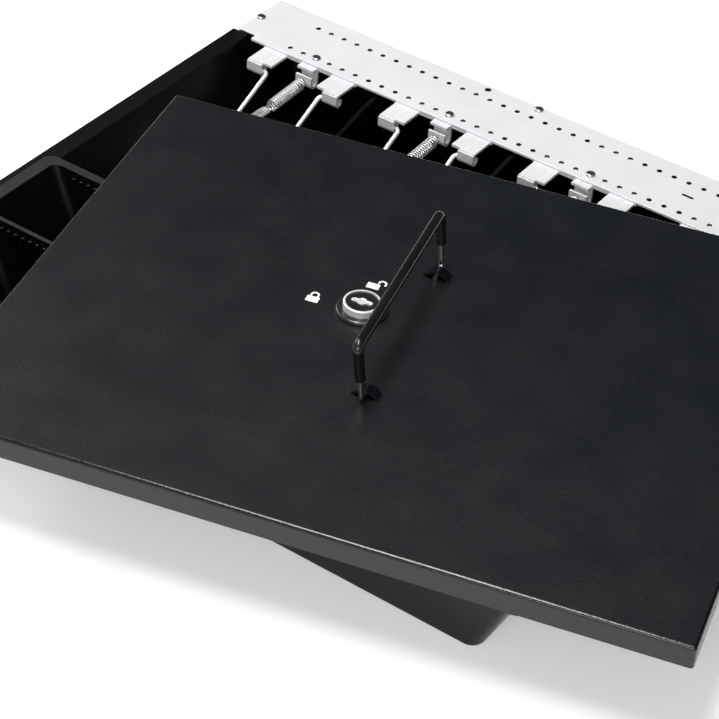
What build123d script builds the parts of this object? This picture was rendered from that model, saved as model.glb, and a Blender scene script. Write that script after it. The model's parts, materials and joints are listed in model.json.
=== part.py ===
from build123d import *
import math
import os

os.makedirs("parts", exist_ok=True)

# ---- driving dimensions, millimetres ----
# tray: rim footprint and height, then the rim flange, the base and the walls
TRAY_X, TRAY_Y0, TRAY_Y1, TRAY_H = 326.0, -144.0, 148.0, 38.8
RIM_W, RIM_FRONT, RIM_T = 9.5, 7.5, 2.5
BASE_X, BASE_Y0, BASE_Y1 = 280.0, -135.5, 136.0
WALL, FLOOR, CORNER = 2.5, 2.5, 6.0

# bill compartments: their pitch, and the dividers between them
PITCH = 76.2
DIV_T, DIV_H = 2.0, 36.4
DIV_Y0, DIV_Y1 = -27.6, 140.0

# pierced rail plate across the rear of the tray, and its rivets
PLATE_X, PLATE_Y0, PLATE_Y1, PLATE_T = 320.0, 107.5, 146.4, 1.2
PLATE_Z = TRAY_H
PLATE_STEP_X, PLATE_STEP_Y = 10.5, 3.7
HOLE_D, HOLE_STEP = 2.5, 7.62
ROW1_Y, ROW2_Y = 136.0, 112.8
SPARE_HOLE, SPARE_HOLE_D = (-36.0, 143.1), 3.2
SPARE_SLOT, SPARE_SLOT_X, SPARE_SLOT_Y = (80.8, 126.3), 6.0, 1.4
RIVET_D, RIVET_H, RIVET_BORE = 4.8, 1.2, 3.0

# bill clips: folded bracket, wire bail and its return spring
CLIP_T = 1.2
TAIL_W, BAR_W = 20.0, 54.0
TAB_IN, TAB_OUT, TAB_NOTCH = 13.2, 26.2, 17.8
PIVOT_Y, PIVOT_Z = 95.2, 34.3
WIRE_D, ARM_X = 2.2, 15.5
BAIL_TILT = math.radians(26.3)
BAIL_LEN = 68.6
LUG_Y, LUG_Z = 73.8, 30.5
LOOP_X, LOOP_Y, LOOP_Z = 1.45, 61.0, 30.9
SPRING_R, SPRING_WIRE, SPRING_COILS = 2.6, 0.75, 15

# coin insert: body, hanging lip, cup mouths and the grip ribs on the cup walls
COIN_X, COIN_Y0, COIN_Y1 = 305.6, -135.9, -29.4
COIN_LIP_X, COIN_LIP_Y0, COIN_LIP_Y1 = 317.0, -139.6, -29.0
COIN_MOUTH_X, COIN_BACK_Y, COIN_FRONT_Y = 304.0, -33.6, -131.4
COIN_MID_Y = -80.4
COIN_FLOOR = 5.0
RIB_STEP, RIB_W, RIB_D, RIB_TOP = 4.0, 1.2, 0.9, 37.0

# lid: folded sheet, lying turned on the tray, placed by its rear left corner
LID_X, LID_Y, LID_T, LID_FLANGE = 308.5, 247.0, 1.2, 9.9
LID_TURN = 14.25
LID_CORNER = (-136.2, 33.0)
LID_TOP = 50.2

# handle and its two pressed straps, in the lid's own plane
STRAP_X, STRAP_F, STRAP_R = 154.6, -165.0, -80.6
STRAP_ROUND, STRAP_RISE = 6.75, 3.45
HANDLE_F, HANDLE_R, HANDLE_TOP, HANDLE_D = -170.2, -75.4, 26.8, 2.2
HANDLE_LEAN, HANDLE_SPLAY = 3.1, 0.8
GRIP_D, GRIP_FRONT_Z, GRIP_REAR_Z = 4.6, 11.0, 13.0

# lock: its place on the lid and its diameters, from the outside in
LOCK_X, LOCK_Y = 134.2, -116.0
COLLAR_D, RING_D, BARREL_D, FACE_D, PLUG_D = 22.0, 15.8, 12.4, 13.7, 8.6


def lid_plane(z):
    origin = (LID_CORNER[0], LID_CORNER[1], LID_TOP + z)
    turn = math.radians(LID_TURN)
    return Plane(origin=origin, x_dir=(math.cos(turn), math.sin(turn), 0), z_dir=(0, 0, 1))


LID = lid_plane(0)

CLIP_X = [-114.3, -38.1, 38.1, 114.3]
HOLES_X = [HOLE_STEP * k for k in range(-17, 18)]
ROW2_HOLES_X = [x for x in HOLES_X if min(abs(x - c) for c in CLIP_X) > 1]
RAIL_RIVETS = [(-157.2, 126.2), (157.2, 126.2), (-8.0, 143.6)]
REAR_CUPS_X = [-88.0, -28.0, 28.0, 88.0]
FRONT_CUPS_X = [-76.0, 0.0, 76.0]

# ---- tray ----
with BuildPart() as tray_body:
    base_y = (BASE_Y0 + BASE_Y1) / 2
    base_len = BASE_Y1 - BASE_Y0
    mouth_y = (TRAY_Y0 + RIM_FRONT + TRAY_Y1 - RIM_W) / 2
    mouth_len = TRAY_Y1 - RIM_W - TRAY_Y0 - RIM_FRONT
    with BuildSketch(Plane.XY) as tray_bottom:
        with Locations((0, base_y)):
            RectangleRounded(BASE_X, base_len, CORNER)
    with BuildSketch(Plane.XY.offset(TRAY_H - 0.5)) as tray_top:
        with Locations((0, mouth_y)):
            RectangleRounded(TRAY_X - 2 * RIM_W + 2 * WALL, mouth_len + 2 * WALL, CORNER + 2)
    loft()
    fillet(tray_body.faces().sort_by(Axis.Z)[0].edges(), 2.0)
    with BuildSketch(Plane.XY.offset(TRAY_H - RIM_T)) as rim:
        with Locations((0, (TRAY_Y0 + TRAY_Y1) / 2)):
            RectangleRounded(TRAY_X, TRAY_Y1 - TRAY_Y0, 8)
    extrude(amount=RIM_T)
    fillet(tray_body.faces().sort_by(Axis.Z)[-1].outer_wire().edges(), 0.8)
    # the rim is cut back beside the rail plate, whose ends stand free of it
    with BuildSketch(Plane.XY.offset(TRAY_H)) as rim_ends:
        with Locations(*[(side * TRAY_X / 2, TRAY_Y1) for side in (-1, 1)]):
            Rectangle(TRAY_X - PLATE_X + 0.6, 2 * (TRAY_Y1 - PLATE_Y0 - PLATE_STEP_Y))
    extrude(amount=-RIM_T, mode=Mode.SUBTRACT)
    with BuildSketch(Plane.XY.offset(FLOOR)) as floor_in:
        with Locations((0, base_y)):
            RectangleRounded(BASE_X - 2 * WALL, base_len - 2 * WALL, CORNER - 1)
    with BuildSketch(Plane.XY.offset(TRAY_H)) as mouth:
        with Locations((0, mouth_y)):
            RectangleRounded(TRAY_X - 2 * RIM_W, mouth_len, CORNER)
    loft(mode=Mode.SUBTRACT)
    for x in (-PITCH, 0, PITCH):
        with BuildSketch(Plane.YZ.offset(x - DIV_T / 2)) as divider:
            Polygon(
                (DIV_Y0, 1.5),
                (DIV_Y0, 34.0),
                (DIV_Y0 + 2, 36.0),
                (4.0, 36.0),
                (14.0, 31.5),
                (24.0, 28.0),
                (64.0, 27.0),
                (80.0, 30.5),
                (96.0, 35.0),
                (105.0, DIV_H),
                (DIV_Y1, DIV_H),
                (DIV_Y1 - 4.0, 1.5),
                align=None,
            )
        extrude(amount=DIV_T)
    with BuildSketch(Plane.YZ.offset(-DIV_T / 2)) as keeper:
        with Locations((-9.0, 40.0)):
            RectangleRounded(18.0, 11.0, 1.5)
        with Locations((-9.0, 41.2)):
            Rectangle(11.0, 3.2, mode=Mode.SUBTRACT)
        with Locations((-9.0, 35.0)):
            Rectangle(18.0, 3.0)
    extrude(amount=DIV_T)
    with BuildSketch(Plane.XY.offset(TRAY_H + 1)) as rivet_bores:
        with Locations(*RAIL_RIVETS):
            Circle(RIVET_BORE / 2)
    extrude(amount=-8, mode=Mode.SUBTRACT)
tray_body.part.label = "tray_body"
export_step(tray_body.part, "parts/tray_body.step")

# ---- coin insert: one moulding with two rows ----
with BuildPart() as coin_insert:
    with BuildSketch(Plane.XY.offset(COIN_FLOOR - 1.8)) as coin_bottom:
        with Locations((0, (-132.4 + COIN_Y1) / 2)):
            RectangleRounded(BASE_X - 6.4, COIN_Y1 + 132.4, 4.6)
    with BuildSketch(Plane.XY.offset(TRAY_H)) as coin_top:
        with Locations((0, (COIN_Y0 + COIN_Y1) / 2)):
            RectangleRounded(COIN_X, COIN_Y1 - COIN_Y0, 6.0)
    loft()
    with BuildSketch(Plane.XY.offset(TRAY_H)) as lip:
        with Locations((0, (COIN_LIP_Y0 + COIN_LIP_Y1) / 2)):
            RectangleRounded(COIN_LIP_X, COIN_LIP_Y1 - COIN_LIP_Y0, 5)
    extrude(amount=1.2)
    fillet(coin_insert.faces().sort_by(Axis.Z)[-1].edges(), 0.5)
    rows = [(COIN_BACK_Y, COIN_MID_Y + 1.0), (COIN_MID_Y - 1.0, COIN_FRONT_Y)]
    for y_back, y_front in rows:
        mid = (y_back + y_front) / 2
        deep = y_back - y_front
        with BuildSketch(Plane.XY.offset(COIN_FLOOR)) as cup_floor:
            with Locations((0, mid)):
                RectangleRounded(BASE_X - 12.0, deep - 8.0, 6)
        with BuildSketch(Plane.XY.offset(TRAY_H + 1.2)) as cup_mouth:
            with Locations((0, mid)):
                RectangleRounded(COIN_MOUTH_X, deep, 4)
        loft(mode=Mode.SUBTRACT)
coin_insert.part.label = "coin_insert"

RIB_X = [RIB_STEP * k for k in range(-35, 36)]
rib_faces = [(y, side) for pair in rows for y, side in zip(pair, (-1, 1))]
with BuildPart() as coin_insert_ribbed:
    add(coin_insert.part)
    for y_face, side in rib_faces:
        with BuildSketch(Plane.XZ.offset(-(y_face - side * 1.2))) as ribs:
            with Locations(*[(x, (RIB_TOP + 27.0) / 2) for x in RIB_X]):
                Rectangle(RIB_W, RIB_TOP - 27.0)
        extrude(amount=-side * (1.2 + RIB_D + 0.6))
coin_insert_ribbed.part.label = "coin_insert"
export_step(coin_insert_ribbed.part, "parts/coin_insert.step")

# ---- removable cup partitions, each standing between two ribs ----
cups = [(x, rows[0]) for x in REAR_CUPS_X] + [(x, rows[1]) for x in FRONT_CUPS_X]
for number, (x, (y_back, y_front)) in enumerate(cups, 1):
    x_mid = x + RIB_STEP / 2
    with BuildPart() as cup_partition:
        with BuildSketch(Plane.YZ.offset(x_mid - 1.1)) as plate_shape:
            Polygon(
                (y_back - 4.9, COIN_FLOOR + 0.4),
                (y_back - 1.2, 36.6),
                (y_back - 7.0, 36.6),
                (y_back - 12.0, 33.0),
                (y_front + 12.0, 33.0),
                (y_front + 7.0, 36.6),
                (y_front + 1.2, 36.6),
                (y_front + 4.9, COIN_FLOOR + 0.4),
                align=None,
            )
        extrude(amount=2.2)
    cup_partition.part.label = f"cup_partition_{number}"
    export_step(cup_partition.part, f"parts/cup_partition_{number}.step")

# ---- pierced rail plate ----
with BuildPart() as rail_plate:
    plate_mid = (PLATE_Y0 + PLATE_Y1) / 2
    with BuildSketch(Plane.XY.offset(PLATE_Z)) as plate_outline:
        with Locations((0, plate_mid)):
            Rectangle(PLATE_X, PLATE_Y1 - PLATE_Y0)
        with Locations((-PLATE_X / 2, PLATE_Y0), (PLATE_X / 2, PLATE_Y0)):
            Rectangle(2 * PLATE_STEP_X, 2 * PLATE_STEP_Y, mode=Mode.SUBTRACT)
        fillet(plate_outline.vertices(), 0.8)
        with Locations(*[(x, ROW1_Y) for x in HOLES_X]):
            Circle(HOLE_D / 2, mode=Mode.SUBTRACT)
        with Locations(*[(x, ROW2_Y) for x in ROW2_HOLES_X]):
            Circle(HOLE_D / 2, mode=Mode.SUBTRACT)
        with Locations(*[(x, ROW2_Y) for x in CLIP_X]):
            Circle(RIVET_BORE / 2, mode=Mode.SUBTRACT)
        with Locations(*RAIL_RIVETS):
            Circle(RIVET_BORE / 2, mode=Mode.SUBTRACT)
        with Locations(SPARE_HOLE):
            Circle(SPARE_HOLE_D / 2, mode=Mode.SUBTRACT)
        with Locations(SPARE_SLOT):
            SlotOverall(SPARE_SLOT_X, SPARE_SLOT_Y, mode=Mode.SUBTRACT)
    extrude(amount=PLATE_T)
    fillet(rail_plate.faces().sort_by(Axis.Z)[-1].outer_wire().edges(), 0.35)
rail_plate.part.label = "rail_plate"
export_step(rail_plate.part, "parts/rail_plate.step")


def rivets(points, length):
    z = PLATE_Z + PLATE_T
    with BuildPart() as pins:
        with BuildSketch(Plane.XY.offset(z)) as shanks:
            with Locations(*points):
                Circle(RIVET_BORE / 2 - 0.05)
        extrude(amount=-length)
        with BuildSketch(Plane.XY.offset(z)) as heads:
            with Locations(*points):
                Circle(RIVET_D / 2)
        extrude(amount=RIVET_H)
        with BuildSketch(Plane.XY.offset(z - length)) as tails:
            with Locations(*points):
                Circle(RIVET_D / 2 - 0.3)
        extrude(amount=-0.9)
        fillet(pins.faces().filter_by(Plane.XY).group_by(Axis.Z)[-1].edges(), 1.0)
    return pins


clip_rivets = rivets([(x, ROW2_Y) for x in CLIP_X], PLATE_T + CLIP_T)
clip_rivets.part.label = "clip_rivets"
export_step(clip_rivets.part, "parts/clip_rivets.step")
rail_rivets = rivets(RAIL_RIVETS, PLATE_T + RIM_T)
rail_rivets.part.label = "rail_rivets"
export_step(rail_rivets.part, "parts/rail_rivets.step")

# ---- spring clip sets, one for each bill compartment ----
under = PLATE_Z - CLIP_T
curl_in = WIRE_D / 2 + 0.06
curl_out = curl_in + CLIP_T
face_y = PIVOT_Y - curl_out
hook_y0, hook_y1 = 102.8, 109.0
far_y = PIVOT_Y - BAIL_LEN * math.cos(BAIL_TILT)
far_z = PIVOT_Z - BAIL_LEN * math.sin(BAIL_TILT)
SPRING_A = (103.4, 31.8)
SPRING_B = (LUG_Y, LUG_Z)
spring_len = math.dist(SPRING_A, SPRING_B)

coil_len = spring_len - 6.2
coil_pitch = coil_len / SPRING_COILS

with BuildPart() as spring_form:
    with BuildLine() as coil:
        Helix(pitch=coil_pitch, height=coil_len, radius=SPRING_R, center=(0, 0, 2.6))
    with BuildSketch(Plane(origin=coil.line @ 0, z_dir=coil.line % 0)) as coil_wire:
        Circle(SPRING_WIRE / 2)
    sweep(is_frenet=True)
    with BuildLine() as hook_a:
        FilletPolyline((SPRING_R + 0.2, 0.2, 2.6), (0, 0, 1.9), (0, 0, -1.5), (0, 2.6, -1.5), radius=0.8)
    with BuildSketch(Plane(origin=hook_a.line @ 0, z_dir=hook_a.line % 0)) as hook_a_wire:
        Circle(SPRING_WIRE / 2)
    sweep(transition=Transition.ROUND)
    with BuildLine() as hook_b:
        FilletPolyline(
            (SPRING_R + 0.2, -0.2, coil_len + 2.6),
            (0, -1.7, coil_len + 3.5),
            (0, -1.7, coil_len + 8.4),
            (0, 1.9, coil_len + 8.4),
            (0, 1.9, coil_len + 5.6),
            radius=0.9,
        )
    with BuildSketch(Plane(origin=hook_b.line @ 0, z_dir=hook_b.line % 0)) as hook_b_wire:
        Circle(SPRING_WIRE / 2)
    sweep(transition=Transition.ROUND)

for number, cx in enumerate(CLIP_X, 1):
    with BuildPart() as clip_bracket:
        with BuildSketch(Plane.XY.offset(under)) as flat:
            with Locations((cx, (PLATE_Y0 + 118.4) / 2)):
                Rectangle(BAR_W, 118.4 - PLATE_Y0)
            with Locations((cx, 106.4)):
                Rectangle(9.0, 5.2)
            with Locations((cx, 126.1)):
                RectangleRounded(TAIL_W, 23.4, 3)
            for side in (-1, 1):
                mid = cx + side * (TAB_IN + TAB_OUT) / 2
                with Locations((mid, (94.9 + 109.0) / 2)):
                    Rectangle(TAB_OUT - TAB_IN, 109.0 - 94.9)
                with Locations((cx + side * (TAB_NOTCH + TAB_OUT) / 2, (face_y + 99.0) / 2 + 0.4)):
                    Rectangle(TAB_OUT - TAB_NOTCH, 99.0 - face_y - 0.8)
            with Locations((cx, ROW2_Y)):
                Circle(RIVET_BORE / 2, mode=Mode.SUBTRACT)
        extrude(amount=CLIP_T)
        for side in (-1, 1):
            start = cx + side * TAB_NOTCH
            with BuildSketch(Plane.YZ.offset(start)) as curl:
                with Locations((PIVOT_Y, PIVOT_Z)):
                    Circle(curl_out)
                    Circle(curl_in, mode=Mode.SUBTRACT)
                with Locations((PIVOT_Y + 1.2, PIVOT_Z + 2.4)):
                    Rectangle(4.8, 2.8, mode=Mode.SUBTRACT)
                with Locations((face_y + CLIP_T / 2, (PIVOT_Z + PLATE_Z - 0.6) / 2)):
                    Rectangle(CLIP_T, PLATE_Z - 0.6 - PIVOT_Z)
            extrude(amount=side * (TAB_OUT - TAB_NOTCH))
        with BuildSketch(Plane.YZ.offset(cx - 4.5)) as hook:
            with Locations(((hook_y0 + hook_y1) / 2, 31.4)):
                Circle(3.1)
                Circle(1.9, mode=Mode.SUBTRACT)
            with Locations((105.9, 33.4)):
                Rectangle(6.4, 4.0, mode=Mode.SUBTRACT)
            with Locations((hook_y1 - CLIP_T / 2, (31.4 + PLATE_Z - 0.4) / 2)):
                Rectangle(CLIP_T, PLATE_Z - 0.4 - 31.4)
            with Locations((hook_y0 + CLIP_T / 2, 33.2)):
                Rectangle(CLIP_T, 3.6)
        extrude(amount=9.0)
        with BuildSketch(Plane.XZ.offset(-104.6)) as hook_eye:
            with Locations((cx, 32.2)):
                Circle(1.5)
        extrude(amount=4.0, mode=Mode.SUBTRACT)
    clip_bracket.part.label = f"clip_bracket_{number}"
    export_step(clip_bracket.part, f"parts/clip_bracket_{number}.step")

    with BuildPart() as bail:
        with BuildLine() as bail_path:
            FilletPolyline(
                (cx + 25.0, PIVOT_Y, PIVOT_Z),
                (cx + ARM_X, PIVOT_Y, PIVOT_Z),
                (cx + ARM_X, far_y, far_z),
                (cx + LOOP_X, far_y, far_z),
                (cx + LOOP_X, LOOP_Y, LOOP_Z),
                (cx + LOOP_X, LUG_Y, LUG_Z),
                (cx - LOOP_X, LUG_Y, LUG_Z),
                (cx - LOOP_X, LOOP_Y, LOOP_Z),
                (cx - LOOP_X, far_y, far_z),
                (cx - ARM_X, far_y, far_z),
                (cx - ARM_X, PIVOT_Y, PIVOT_Z),
                (cx - 25.0, PIVOT_Y, PIVOT_Z),
                radius=(2.3, 2.3, 1.4, 2.0, 1.35, 1.35, 2.0, 1.4, 2.3, 2.3),
            )
        with BuildSketch(Plane(origin=bail_path.line @ 0, z_dir=bail_path.line % 0)) as bail_wire:
            Circle(WIRE_D / 2)
        sweep(transition=Transition.ROUND)
    bail.part.label = f"bail_{number}"
    export_step(bail.part, f"parts/bail_{number}.step")

    along = (0, SPRING_B[0] - SPRING_A[0], SPRING_B[1] - SPRING_A[1])
    coil_plane = Plane(origin=(cx, SPRING_A[0], SPRING_A[1]), x_dir=(1, 0, 0), z_dir=along)
    with BuildPart() as bail_spring:
        with Locations(coil_plane.location):
            add(spring_form.part)
    bail_spring.part.label = f"bail_spring_{number}"
    export_step(bail_spring.part, f"parts/bail_spring_{number}.step")

# ---- lid ----
with BuildPart() as lid_panel:
    with BuildSketch(lid_plane(-LID_FLANGE)) as lid_outline:
        with Locations((LID_X / 2, -LID_Y / 2)):
            RectangleRounded(LID_X, LID_Y, 1.6)
    extrude(amount=LID_FLANGE)
    fillet(lid_panel.faces().sort_by(Axis.Z)[-1].edges(), 1.5)
    with BuildSketch(lid_plane(-LID_FLANGE)) as lid_inside:
        with Locations((LID_X / 2, -LID_Y / 2)):
            RectangleRounded(LID_X - 2 * LID_T, LID_Y - 2 * LID_T, 0.5)
    extrude(amount=LID_FLANGE - LID_T, mode=Mode.SUBTRACT)
    with BuildSketch(lid_plane(1)) as lid_cuts:
        with Locations((STRAP_X, STRAP_F), (STRAP_X, STRAP_R)):
            Rectangle(8.6, 5.0)
        with Locations((LOCK_X, LOCK_Y)):
            Circle(6.3)
    extrude(amount=-4, mode=Mode.SUBTRACT)
    for y in (STRAP_F, STRAP_R):
        strap_plane = Plane(origin=LID.from_local_coords((STRAP_X, y + 2.4, 0)), x_dir=LID.x_dir, z_dir=-LID.y_dir)
        with BuildSketch(strap_plane) as strap:
            with Locations((0, STRAP_RISE - STRAP_ROUND)):
                Circle(STRAP_ROUND)
                Circle(STRAP_ROUND - 1.1, mode=Mode.SUBTRACT)
            with Locations((0, -10.9)):
                Rectangle(30.0, 20.0, mode=Mode.SUBTRACT)
        extrude(amount=4.8)
lid_panel.part.label = "lid_panel"
export_step(lid_panel.part, "parts/lid_panel.step")


# ---- carrying handle: sprung wire with a vinyl sleeve ----
def on_lid(x, y, z):
    return LID.from_local_coords((x, y, z))


wire_z = WIRE_D / 2 + 0.04
top_x = STRAP_X - HANDLE_LEAN
with BuildPart() as handle_wire:
    with BuildLine() as handle_path:
        FilletPolyline(
            on_lid(STRAP_X, STRAP_F + 3.4, wire_z),
            on_lid(STRAP_X, HANDLE_F, wire_z),
            on_lid(top_x, HANDLE_F - HANDLE_SPLAY, HANDLE_TOP),
            on_lid(top_x, HANDLE_R + HANDLE_SPLAY, HANDLE_TOP),
            on_lid(STRAP_X, HANDLE_R, wire_z),
            on_lid(STRAP_X, STRAP_R - 3.4, wire_z),
            radius=2.6,
        )
    with BuildSketch(Plane(origin=handle_path.line @ 0, z_dir=handle_path.line % 0)) as handle_section:
        Circle(HANDLE_D / 2)
    sweep(transition=Transition.ROUND)
handle_wire.part.label = "handle_wire"
export_step(handle_wire.part, "parts/handle_wire.step")

with BuildPart() as handle_grip:
    front = (GRIP_FRONT_Z - wire_z) / (HANDLE_TOP - wire_z)
    rear = (GRIP_REAR_Z - wire_z) / (HANDLE_TOP - wire_z)
    with BuildLine() as grip_path:
        FilletPolyline(
            on_lid(STRAP_X - HANDLE_LEAN * front, HANDLE_F - HANDLE_SPLAY * front, GRIP_FRONT_Z),
            on_lid(top_x, HANDLE_F - HANDLE_SPLAY, HANDLE_TOP),
            on_lid(top_x, HANDLE_R + HANDLE_SPLAY, HANDLE_TOP),
            on_lid(STRAP_X - HANDLE_LEAN * rear, HANDLE_R + HANDLE_SPLAY * rear, GRIP_REAR_Z),
            radius=2.6,
        )
    with BuildSketch(Plane(origin=grip_path.line @ 0, z_dir=grip_path.line % 0)) as grip_section:
        Circle(GRIP_D / 2)
        Circle(HANDLE_D / 2 + 0.05, mode=Mode.SUBTRACT)
    sweep(transition=Transition.ROUND)
handle_grip.part.label = "handle_grip"
export_step(handle_grip.part, "parts/handle_grip.step")

# ---- cylinder lock: fixed pieces on the lid, plug with cam ----
def lock_disc(z0, z1, outer, inner=0.0, soften=0.0):
    with BuildPart() as disc:
        with BuildSketch(lid_plane(z0)) as ring:
            with Locations((LOCK_X, LOCK_Y)):
                Circle(outer / 2)
                if inner > 0:
                    Circle(inner / 2, mode=Mode.SUBTRACT)
        extrude(amount=z1 - z0)
        if soften > 0:
            fillet(disc.faces().sort_by(Axis.Z)[-1].edges().sort_by(SortBy.RADIUS)[-1], soften)
    return disc


with BuildPart() as lock_collar:
    add(lock_disc(0.0, 1.9, COLLAR_D, BARREL_D + 0.2, 1.2).part)
lock_collar.part.label = "lock_collar"
export_step(lock_collar.part, "parts/lock_collar.step")

with BuildPart() as lock_body:
    add(lock_disc(3.1, 5.0, RING_D, FACE_D + 0.1, 0.5).part)
    add(lock_disc(1.9, 3.1, RING_D, PLUG_D + 0.1).part)
    add(lock_disc(-7.6, 1.9, BARREL_D, PLUG_D + 0.1).part)
lock_body.part.label = "lock_body"
export_step(lock_body.part, "parts/lock_body.step")

with BuildPart() as lock_nut:
    with BuildSketch(lid_plane(-LID_T - 3.0)) as nut:
        with Locations((LOCK_X, LOCK_Y)):
            RegularPolygon(9.0, 6, major_radius=False)
            Circle(BARREL_D / 2 + 0.05, mode=Mode.SUBTRACT)
    extrude(amount=3.0)
lock_nut.part.label = "lock_nut"
export_step(lock_nut.part, "parts/lock_nut.step")

with BuildPart() as lock_plug:
    add(lock_disc(-7.9, 3.2, PLUG_D).part)
    add(lock_disc(3.2, 4.5, FACE_D, 0.0, 0.3).part)
    with BuildSketch(lid_plane(4.5)) as keyway:
        with Locations((LOCK_X, LOCK_Y)):
            Rectangle(7.0, 1.4)
    extrude(amount=-6, mode=Mode.SUBTRACT)
lock_plug.part.label = "lock_plug"
export_step(lock_plug.part, "parts/lock_plug.step")

with BuildPart() as lock_cam:
    with BuildSketch(lid_plane(-9.4)) as cam:
        with Locations((LOCK_X, LOCK_Y)):
            Circle(5.2)
        with Locations((LOCK_X + 12.0, LOCK_Y)):
            RectangleRounded(24.0, 8.0, 2.0)
        with Locations((LOCK_X, LOCK_Y)):
            Circle(1.6, mode=Mode.SUBTRACT)
    extrude(amount=1.5)
lock_cam.part.label = "lock_cam"
export_step(lock_cam.part, "parts/lock_cam.step")

with BuildPart() as cam_screw:
    add(lock_disc(-9.4, -7.9, 3.1).part)
    add(lock_disc(-11.0, -9.4, 6.4).part)
    with BuildSketch(lid_plane(-11.0)) as slot:
        with Locations((LOCK_X, LOCK_Y)):
            Rectangle(8.0, 0.9)
    extrude(amount=0.7, mode=Mode.SUBTRACT)
cam_screw.part.label = "cam_screw"
export_step(cam_screw.part, "parts/cam_screw.step")
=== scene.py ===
import json
import math

import bmesh
import bpy
from mathutils import Matrix, Vector


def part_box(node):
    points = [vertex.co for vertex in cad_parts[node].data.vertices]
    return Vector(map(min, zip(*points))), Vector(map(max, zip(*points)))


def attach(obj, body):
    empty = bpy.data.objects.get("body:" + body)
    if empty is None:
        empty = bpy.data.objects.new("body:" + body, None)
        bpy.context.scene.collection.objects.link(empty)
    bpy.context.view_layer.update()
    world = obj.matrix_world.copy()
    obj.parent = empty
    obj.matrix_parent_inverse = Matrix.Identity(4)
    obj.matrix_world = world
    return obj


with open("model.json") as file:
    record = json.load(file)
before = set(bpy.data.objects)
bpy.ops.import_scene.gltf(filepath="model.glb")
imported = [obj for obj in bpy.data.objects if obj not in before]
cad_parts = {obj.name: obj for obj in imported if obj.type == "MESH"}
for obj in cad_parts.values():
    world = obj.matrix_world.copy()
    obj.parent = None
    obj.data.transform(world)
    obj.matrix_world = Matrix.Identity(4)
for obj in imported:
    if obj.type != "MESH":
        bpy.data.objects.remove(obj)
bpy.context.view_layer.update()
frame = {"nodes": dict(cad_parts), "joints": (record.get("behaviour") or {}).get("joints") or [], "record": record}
NODES = frame["nodes"]
RECORD = frame["record"]
JOINTS = {j["name"]: j for j in frame["joints"]}
MM = 0.001

# ---------------------------------------------------------------- materials
# how far up a face looks, as its normal's Z: a bend, a flat top, an upward face that gets a painted highlight, an
# upright wall
BEND_TILT, FLAT_TILT, LIT_TOP_TILT, UPRIGHT_TILT = 0.5, 0.995, 0.8, 0.3
# the height above which upward faces get the painted highlight
LIT_TOP_BAND = 0.035
# how far inside the plate's outline the painted shade of the hole walls starts
SHADED_HOLE_MARGIN = 0.0015
NOISE_LOW, NOISE_HIGH = 0.3, 0.7
POLISHED = (0.12, 0.22)


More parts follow.
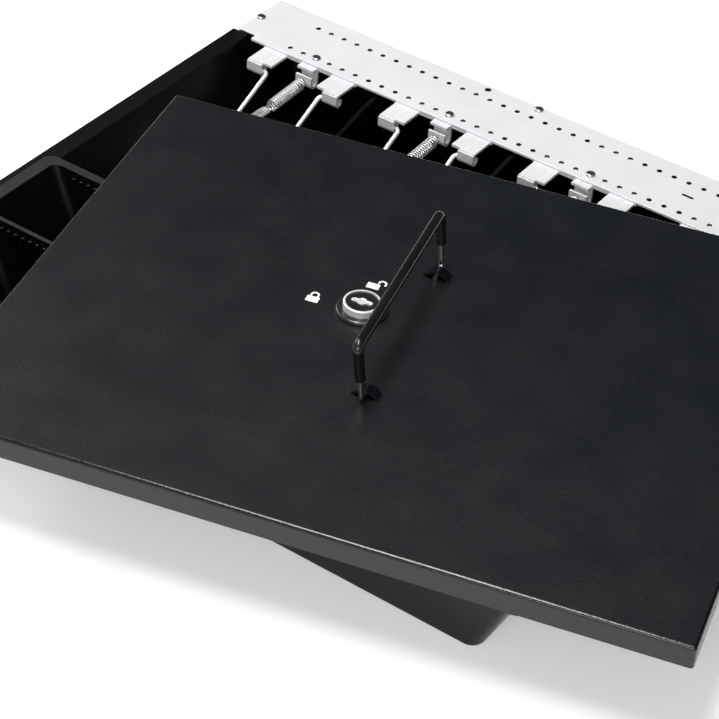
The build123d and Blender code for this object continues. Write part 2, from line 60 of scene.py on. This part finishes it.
class Mat:
    """A small helper that builds one node material around a Principled shader."""

    def __init__(self, name):
        self.mat = bpy.data.materials.new(name)
        self.mat.use_nodes = True
        self.tree = self.mat.node_tree
        self.tree.nodes.clear()
        self.out = self.add("ShaderNodeOutputMaterial")
        self.shader = self.add("ShaderNodeBsdfPrincipled")
        self.link(self.shader.outputs[0], self.out.inputs["Surface"])
        self.coord = self.add("ShaderNodeTexCoord").outputs["Object"]
        self.bumps = None

    def add(self, kind):
        return self.tree.nodes.new(kind)

    def link(self, a, b):
        self.tree.links.new(a, b)

    def set(self, **values):
        for key, value in values.items():
            self.shader.inputs[key.replace("_", " ")].default_value = value
        return self

    def scaled(self, stretch):
        node = self.add("ShaderNodeMapping")
        node.inputs["Scale"].default_value = stretch
        self.link(self.coord, node.inputs["Vector"])
        return node.outputs[0]

    def noise(self, scale, detail=3.0, rough=0.5, stretch=(1, 1, 1)):
        node = self.add("ShaderNodeTexNoise")
        node.inputs["Scale"].default_value = scale
        node.inputs["Detail"].default_value = detail
        node.inputs["Roughness"].default_value = rough
        self.link(self.scaled(stretch), node.inputs["Vector"])
        return node.outputs["Fac"]

    def cells(self, scale):
        node = self.add("ShaderNodeTexVoronoi")
        node.feature = "SMOOTH_F1"
        node.inputs["Scale"].default_value = scale
        self.link(self.coord, node.inputs["Vector"])
        return node.outputs["Distance"]

    def ramp(self, value, *stops):
        """A colour ramp between two stops, each a position and a colour."""
        node = self.add("ShaderNodeValToRGB")
        for element, (position, colour) in zip(node.color_ramp.elements, stops):
            element.position = position
            element.color = colour
        self.link(value, node.inputs["Fac"])
        return node.outputs["Color"]

    def span(self, value, low, high, a=0.0, b=1.0):
        """Map a value from a..b to low..high."""
        node = self.add("ShaderNodeMapRange")
        node.inputs["From Min"].default_value = a
        node.inputs["From Max"].default_value = b
        node.inputs["To Min"].default_value = low
        node.inputs["To Max"].default_value = high
        self.link(value, node.inputs["Value"])
        return node.outputs["Result"]

    def mix(self, fac, a, b):
        node = self.add("ShaderNodeMix")
        node.data_type = "RGBA"
        for name, value in (("Factor", fac), ("A", a), ("B", b)):
            socket = [s for s in node.inputs if s.name == name and s.enabled][0]
            if hasattr(value, "node"):
                self.link(value, socket)
            else:
                socket.default_value = value
        return [s for s in node.outputs if s.enabled][0]

    def maths(self, operation, a, b):
        node = self.add("ShaderNodeMath")
        node.operation = operation
        self.link(a, node.inputs[0])
        if hasattr(b, "node"):
            self.link(b, node.inputs[1])
        else:
            node.inputs[1].default_value = b
        return node.outputs[0]

    def over(self, value, edge):
        return self.maths("GREATER_THAN", value, edge)

    def under(self, value, edge):
        return self.maths("LESS_THAN", value, edge)

    def both(self, a, b):
        return self.maths("MULTIPLY", a, b)

    def normal(self):
        split = self.add("ShaderNodeSeparateXYZ")
        self.link(self.add("ShaderNodeNewGeometry").outputs["True Normal"], split.inputs[0])
        return split.outputs

    def place(self):
        split = self.add("ShaderNodeSeparateXYZ")
        self.link(self.coord, split.inputs[0])
        return split.outputs

    def bends(self):
        """1 on rounded edges that face partly up, where handling has polished them."""
        up = self.normal()["Z"]
        return self.both(self.over(up, BEND_TILT), self.under(up, FLAT_TILT))

    def lit_tops(self):
        """1 on faces that look up, in the tray's uppermost few millimetres; there the colour is painted lighter as
        a painted highlight.
        """
        return self.both(self.over(self.place()["Z"], LIT_TOP_BAND), self.over(self.normal()["Z"], LIT_TOP_TILT))

    def shaded_hole_walls(self, node_name, margin):
        """1 on upright walls that lie inside a plate's outline, which are its holes, cut by a punch; these walls
        get painted shade.
        """
        low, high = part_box(node_name)
        place = self.place()
        mask = self.under(self.maths("ABSOLUTE", self.normal()["Z"], 0.0), UPRIGHT_TILT)
        for axis in (0, 1):
            mask = self.both(mask, self.over(place[axis], low[axis] + margin))
            mask = self.both(mask, self.under(place[axis], high[axis] - margin))
        return mask

    def colour(self, socket):
        self.link(socket, self.shader.inputs["Base Color"])
        return self

    def rough(self, value, low, high):
        spread = self.span(value, low, high, NOISE_LOW, NOISE_HIGH)
        self.link(spread, self.shader.inputs["Roughness"])
        return self

    def rough_with_bends(self, value, low, high):
        """Roughness as in rough(), but polished on the rounded edges."""
        worn = self.add("ShaderNodeMix")
        self.link(self.bends(), worn.inputs["Factor"])
        self.link(self.span(value, low, high, NOISE_LOW, NOISE_HIGH), worn.inputs["A"])
        self.link(self.span(self.noise(300), *POLISHED, NOISE_LOW, NOISE_HIGH), worn.inputs["B"])
        self.link(worn.outputs["Result"], self.shader.inputs["Roughness"])

    def bump(self, height, strength, distance):
        node = self.add("ShaderNodeBump")
        node.inputs["Strength"].default_value = strength
        node.inputs["Distance"].default_value = distance
        self.link(height, node.inputs["Height"])
        if self.bumps:
            self.link(self.bumps, node.inputs["Normal"])
        self.bumps = node.outputs["Normal"]
        self.link(self.bumps, self.shader.inputs["Normal"])
        return self


def grey(v, warm=0.0):
    return (v * (1 + warm), v, v * (1 - warm), 1)


def powder_coat():
    m = Mat("lid_powder_coat").set(Metallic=0.0, Specular_IOR_Level=0.45)
    grain = m.noise(620, 2.0, 0.55)
    cloud = m.noise(9, 3.0, 0.5)
    base = m.ramp(cloud, (0.35, (0.0026, 0.0036, 0.0048, 1)), (0.65, (0.0034, 0.0046, 0.0060, 1)))
    m.colour(m.mix(m.span(grain, 0.0, 0.5, 0.45, 0.8), base, (0.009, 0.011, 0.0135, 1)))
    m.rough_with_bends(m.noise(40, 3.0), 0.33, 0.40)
    m.bump(grain, 0.4, 0.00016)
    m.bump(m.cells(430), 0.25, 0.00012)
    return m.mat


def moulded(name, dark, light, low, high, lit_top_tone):
    """Black moulding, with painted light: faces that look up near the top are coloured lighter, as if lit from
    above.
    """
    m = Mat(name).set(Metallic=0.0, Specular_IOR_Level=0.22)
    fine = m.noise(1400, 2.0, 0.6)
    base = m.ramp(m.noise(9, 4.0), (0.3, grey(dark)), (0.7, grey(light)))
    # painted highlight: the lighter colour given to upward faces near the top
    lit_tops = m.ramp(m.noise(120, 4.0), (0.3, grey(lit_top_tone * 0.8)), (0.7, grey(lit_top_tone * 1.2)))
    m.colour(m.mix(m.lit_tops(), base, lit_tops))
    m.rough_with_bends(m.noise(28, 4.0), low, high)
    m.bump(fine, 0.25, 0.00012)
    m.bump(m.noise(45, 2.0), 0.12, 0.0004)
    return m.mat


def brushed(name, dark, light, low, high, metallic=1.0, stretch=(4, 160, 160), shade_holes_of=None):
    """Plated metal with drawn lines; a plate can be named whose hole walls get painted shade, coloured near-black.
    """
    m = Mat(name).set(Metallic=metallic)
    lines = m.noise(14, 5.0, 0.65, stretch)
    blot = m.noise(22, 3.0)
    base = m.ramp(lines, (0.3, grey(dark, -0.012)), (0.7, grey(light, -0.012)))
    base = m.mix(m.span(blot, 0.0, 0.18), base, grey(dark * 0.8))
    if shade_holes_of:
        # painted shade: the hole walls are coloured near-black to stand for the shade inside the holes
        base = m.mix(m.shaded_hole_walls(shade_holes_of, SHADED_HOLE_MARGIN), base, grey(0.02))
    m.colour(base)
    m.rough(m.noise(60, 4.0), low, high)
    m.bump(lines, 0.10, 0.00006)
    return m.mat


def bright_wire(name, tone, low, high, metallic=1.0):
    m = Mat(name).set(Metallic=metallic)
    draw = m.noise(35, 4.0, 0.6)
    m.colour(m.ramp(draw, (0.35, grey(tone * 0.82)), (0.65, grey(tone))))
    m.rough(m.noise(180, 3.0), low, high)
    m.bump(m.noise(420, 2.0), 0.08, 0.00005)
    return m.mat


def vinyl():
    m = Mat("grip_vinyl_skin").set(Metallic=0.0, Specular_IOR_Level=0.4, Coat_Weight=0.15)
    m.shader.inputs["Coat Roughness"].default_value = 0.12
    m.colour(m.ramp(m.noise(30, 3.0), (0.3, grey(0.004)), (0.7, grey(0.009))))
    m.rough(m.noise(90, 3.0), 0.14, 0.24)
    m.bump(m.noise(260, 3.0), 0.12, 0.00012)
    return m.mat


def black_enamel():
    m = Mat("lock_black_enamel").set(Metallic=0.0, Specular_IOR_Level=0.6)
    m.colour(m.ramp(m.noise(200, 3.0), (0.3, grey(0.007)), (0.7, grey(0.016))))
    m.rough(m.noise(300, 3.0), 0.2, 0.34)
    m.bump(m.noise(900, 2.0), 0.1, 0.00006)
    return m.mat


def printed_white():
    m = Mat("padlock_print").set(Metallic=0.0)
    m.colour(m.ramp(m.noise(700, 3.0), (0.25, grey(0.62)), (0.6, grey(0.86))))
    m.rough(m.noise(500, 3.0), 0.45, 0.6)
    m.bump(m.noise(900, 2.0), 0.1, 0.00005)
    return m.mat


MATS = {
    "lid_paint": powder_coat(),
    # the last number on the next two lines is the painted highlight tone of upward faces near the top
    "tray_plastic": moulded("tray_moulded", 0.0008, 0.0016, 0.26, 0.36, 0.004),
    "insert_plastic": moulded("insert_moulded", 0.0010, 0.0020, 0.28, 0.42, 0.024),
    # the rail plate's hole walls get painted shade
    "rail_steel": brushed("rail_plate_zinc", 0.63, 0.69, 0.42, 0.55, metallic=0.15, shade_holes_of="rail_plate"),
    "clip_steel": brushed("clip_zinc", 0.66, 0.80, 0.34, 0.46, metallic=0.2, stretch=(60, 8, 60)),
    "rivet_metal": brushed("rivet_aluminium", 0.55, 0.72, 0.2, 0.34, stretch=(40, 40, 40)),
    "bail_wire": bright_wire("bail_wire_bright", 0.96, 0.22, 0.34, 0.7),
    "spring_wire": bright_wire("spring_wire_bright", 0.95, 0.14, 0.26, 0.85),
    "lock_black": black_enamel(),
    "lock_chrome": bright_wire("lock_ring_nickel", 0.95, 0.20, 0.32, 0.35),
    "handle_steel": bright_wire("handle_wire_steel", 0.6, 0.12, 0.26),
    "grip_vinyl": vinyl(),
}
SLOT_OF = {s["node"]: s["material_slot"] for s in RECORD["subparts"]}


def dress(obj, material):
    """Give a carried-over CAD node its one material."""
    obj.data.materials.clear()
    obj.data.materials.append(material)
    for polygon in obj.data.polygons:
        polygon.material_index = 0


for name, obj in NODES.items():
    dress(obj, MATS[SLOT_OF[name]])

# ---------------------------------------------------------------- lid frame
lid_y = Vector(JOINTS["handle_hinge"]["axis"]).normalized()
lid_x = Vector((lid_y.y, -lid_y.x, 0.0))
collar_lo, collar_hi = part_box("lock_collar")
lid_top = collar_lo.z
lock_centre = (collar_lo + collar_hi) / 2


def on_lid(dx, dy, dz=0.0):
    """A point on the lid, counted from the lock's centre along the lid's own edges."""
    p = lock_centre + lid_x * dx + lid_y * dy
    return Vector((p.x, p.y, lid_top + dz))


def new_mesh(name, bm, body, material):
    mesh = bpy.data.meshes.new(name)
    bm.to_mesh(mesh)
    bm.free()
    obj = bpy.data.objects.new(name, mesh)
    bpy.context.scene.collection.objects.link(obj)
    obj.data.materials.append(material)
    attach(obj, body)
    return obj


def band(bm, low, high):
    """Join two closed rings of vertices with a band of faces."""
    for i in range(len(low)):
        j = (i + 1) % len(low)
        bm.faces.new((low[i], low[j], high[j], high[i]))


def arc(cx, cy, r, a0, a1, steps):
    angles = [math.radians(a0 + (a1 - a0) * i / steps) for i in range(steps + 1)]
    return [(cx + r * math.cos(a), cy + r * math.sin(a)) for a in angles]


# printed padlock symbols, millimetres: the ink's underside and top, the body, and the shackle
INK_LOW, INK_HIGH = 0.02, 0.06
BODY_HALF, BODY_DEEP, BODY_ROUND = 2.7, 3.8, 0.5
SHACKLE_R, SHACKLE_BORE, SHACKLE_RISE = 1.9, 1.05, 1.2
SHACKLE_FOOT, SHACKLE_LIFTED_FOOT, SHACKLE_SHIFT = -0.2, 0.7, 3.1
PRINT = printed_white()


def padlock(name, dx, dy, opened):
    """A generic padlock symbol, 5.4 mm wide, printed on the lid."""
    bm = bmesh.new()

    def ink(outline):
        low, high = [
            [bm.verts.new(on_lid((dx + x) * MM, (dy + y) * MM, z * MM)) for x, y in outline]
            for z in (INK_LOW, INK_HIGH)
        ]
        bm.faces.new(high)
        band(bm, low, high)

    side, bottom = BODY_HALF - BODY_ROUND, BODY_ROUND - BODY_DEEP
    body = arc(side, -BODY_ROUND, BODY_ROUND, 90, 0, 4) + arc(side, bottom, BODY_ROUND, 0, -90, 4)
    body += arc(-side, bottom, BODY_ROUND, -90, -180, 4) + arc(-side, -BODY_ROUND, BODY_ROUND, 180, 90, 4)
    ink(body)
    shift = SHACKLE_SHIFT if opened else 0.0
    free_foot = SHACKLE_LIFTED_FOOT if opened else SHACKLE_FOOT
    shackle = [(shift + SHACKLE_R, SHACKLE_FOOT)] + arc(shift, SHACKLE_RISE, SHACKLE_R, 0, 180, 16)
    shackle += [(shift - SHACKLE_R, free_foot), (shift - SHACKLE_BORE, free_foot)]
    shackle += arc(shift, SHACKLE_RISE, SHACKLE_BORE, 180, 0, 16) + [(shift + SHACKLE_BORE, SHACKLE_FOOT)]
    ink(shackle)
    bmesh.ops.recalc_face_normals(bm, faces=bm.faces)
    return new_mesh(name, bm, "lid", PRINT)


padlock("padlock_closed", -21.0, 0.7, opened=False)
padlock("padlock_open", -1.5, 19.5, opened=True)


# ---------------------------------------------------------------- keyway bar on the plug face
# millimetres: half the bar's width, its reach from the centre, its swelling, and each ring's size and height
SHUTTER_HALF, SHUTTER_REACH, SHUTTER_SWELL = 1.0, 4.6, 2.1
SHUTTER_RINGS = ((1.0, 0.02), (1.0, 0.35), (0.93, 0.5), (0.85, 0.5), (0.7, 0.3))


def keyway_shutter():
    """The sprung bar across the key slot: a slim bar with a round swelling at its middle."""
    end = SHUTTER_REACH - SHUTTER_HALF
    meet = math.degrees(math.asin(SHUTTER_HALF / SHUTTER_SWELL))
    outline = arc(end, 0, SHUTTER_HALF, -90, 90, 8) + arc(0, 0, SHUTTER_SWELL, meet, 180 - meet, 12)
    outline += arc(-end, 0, SHUTTER_HALF, 90, 270, 8) + arc(0, 0, SHUTTER_SWELL, 180 + meet, 360 - meet, 12)
    plug_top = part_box("lock_plug")[1].z - lid_top
    bm = bmesh.new()
    rings = []
    for size, z in SHUTTER_RINGS:
        points = [on_lid(x * size * MM, y * size * MM, plug_top + z * MM) for x, y in outline]
        rings.append([bm.verts.new(point) for point in points])
    for low, high in zip(rings, rings[1:]):
        band(bm, low, high)
    bm.faces.new(rings[-1])
    bmesh.ops.recalc_face_normals(bm, faces=bm.faces)
    return new_mesh("keyway_shutter", bm, "lock_plug_body", MATS["lock_chrome"])


keyway_shutter()

# ---------------------------------------------------------------- floor, light, camera
FLOOR_REACH, FLOOR_Z = 6, -0.0006
FLOOR_GLOW = 0.30
floor_mesh = bpy.data.meshes.new("floor")
turns = ((-1, -1), (1, -1), (1, 1), (-1, 1))
floor_corners = [(x * FLOOR_REACH, y * FLOOR_REACH, FLOOR_Z) for x, y in turns]
floor_mesh.from_pydata(floor_corners, [], [(0, 1, 2, 3)])
floor = bpy.data.objects.new("floor", floor_mesh)
bpy.context.scene.collection.objects.link(floor)
paper = Mat("pale_floor").set(Metallic=0.0, Specular_IOR_Level=0.15)
paper.colour(paper.ramp(paper.noise(2, 2.0), (0.3, (0.86, 0.865, 0.87, 1)), (0.7, (0.89, 0.893, 0.9, 1))))
paper.rough(paper.noise(6, 2.0), 0.8, 0.95)
paper.set(Emission_Color=(1.0, 1.0, 1.0, 1), Emission_Strength=FLOOR_GLOW)
floor.data.materials.append(paper.mat)


def studio_world(front, back):
    """A soft surround, bright at the front and dim at the back, where the lid's top mirrors it."""
    world = bpy.data.worlds.new("studio")
    world.use_nodes = True
    tree = world.node_tree
    coord = tree.nodes.new("ShaderNodeTexCoord")
    split = tree.nodes.new("ShaderNodeSeparateXYZ")
    fade = tree.nodes.new("ShaderNodeMapRange")
    tree.links.new(coord.outputs["Generated"], split.inputs[0])
    tree.links.new(split.outputs["Y"], fade.inputs["Value"])
    for name, value in (("From Min", -1.0), ("From Max", 0.7), ("To Min", front), ("To Max", back)):
        fade.inputs[name].default_value = value
    background = tree.nodes["Background"]
    background.inputs["Color"].default_value = (0.93, 0.95, 1.0, 1)
    tree.links.new(fade.outputs["Result"], background.inputs["Strength"])
    bpy.context.scene.world = world


studio_world(front=0.62, back=0.03)


def area_light(name, where, aim, width, depth, power):
    data = bpy.data.lights.new(name, "AREA")
    data.shape = "RECTANGLE"
    data.size = width
    data.size_y = depth
    data.energy = power
    obj = bpy.data.objects.new(name, data)
    obj.location = where
    obj.rotation_euler = (Vector(aim) - Vector(where)).to_track_quat("-Z", "Y").to_euler()
    bpy.context.scene.collection.objects.link(obj)


area_light("overhead", (-0.25, -0.15, 1.8), (0.03, 0.0, 0.0), 1.2, 0.5, power=34)
area_light("front", (0.75, -1.45, 1.1), (0.03, -0.05, 0.04), 1.1, 0.6, power=12)
area_light("left", (-1.5, 0.3, 1.0), (0, 0, 0.03), 1.0, 0.6, power=9)

# camera: bearing, pitch and roll of the view, the point it looks at, its distance and lens
BEARING, PITCH, ROLL = (math.radians(v) for v in (32.20, 38.70, 4.36))
AIM = Vector((0.03979, -0.07269, 0.05))
DISTANCE, LENS, SENSOR = 0.93628, 118.37, 36.0
level = math.cos(PITCH)
forward = Vector((-math.sin(BEARING) * level, math.cos(BEARING) * level, -math.sin(PITCH)))
right = Vector((math.cos(BEARING), math.sin(BEARING), 0.0))
up = right.cross(forward)
across = right * math.cos(ROLL) + up * math.sin(ROLL)
upward = up * math.cos(ROLL) - right * math.sin(ROLL)
camera_data = bpy.data.cameras.new("camera")
camera_data.lens = LENS
camera_data.sensor_width = SENSOR
camera_data.clip_start = 0.01
camera_data.clip_end = 50
camera = bpy.data.objects.new("camera", camera_data)
turn = Matrix((across, upward, -forward)).transposed().to_4x4()
camera.matrix_world = Matrix.Translation(AIM - forward * DISTANCE) @ turn
bpy.context.scene.collection.objects.link(camera)
bpy.context.scene.camera = camera
bpy.context.scene.view_settings.view_transform = "Standard"
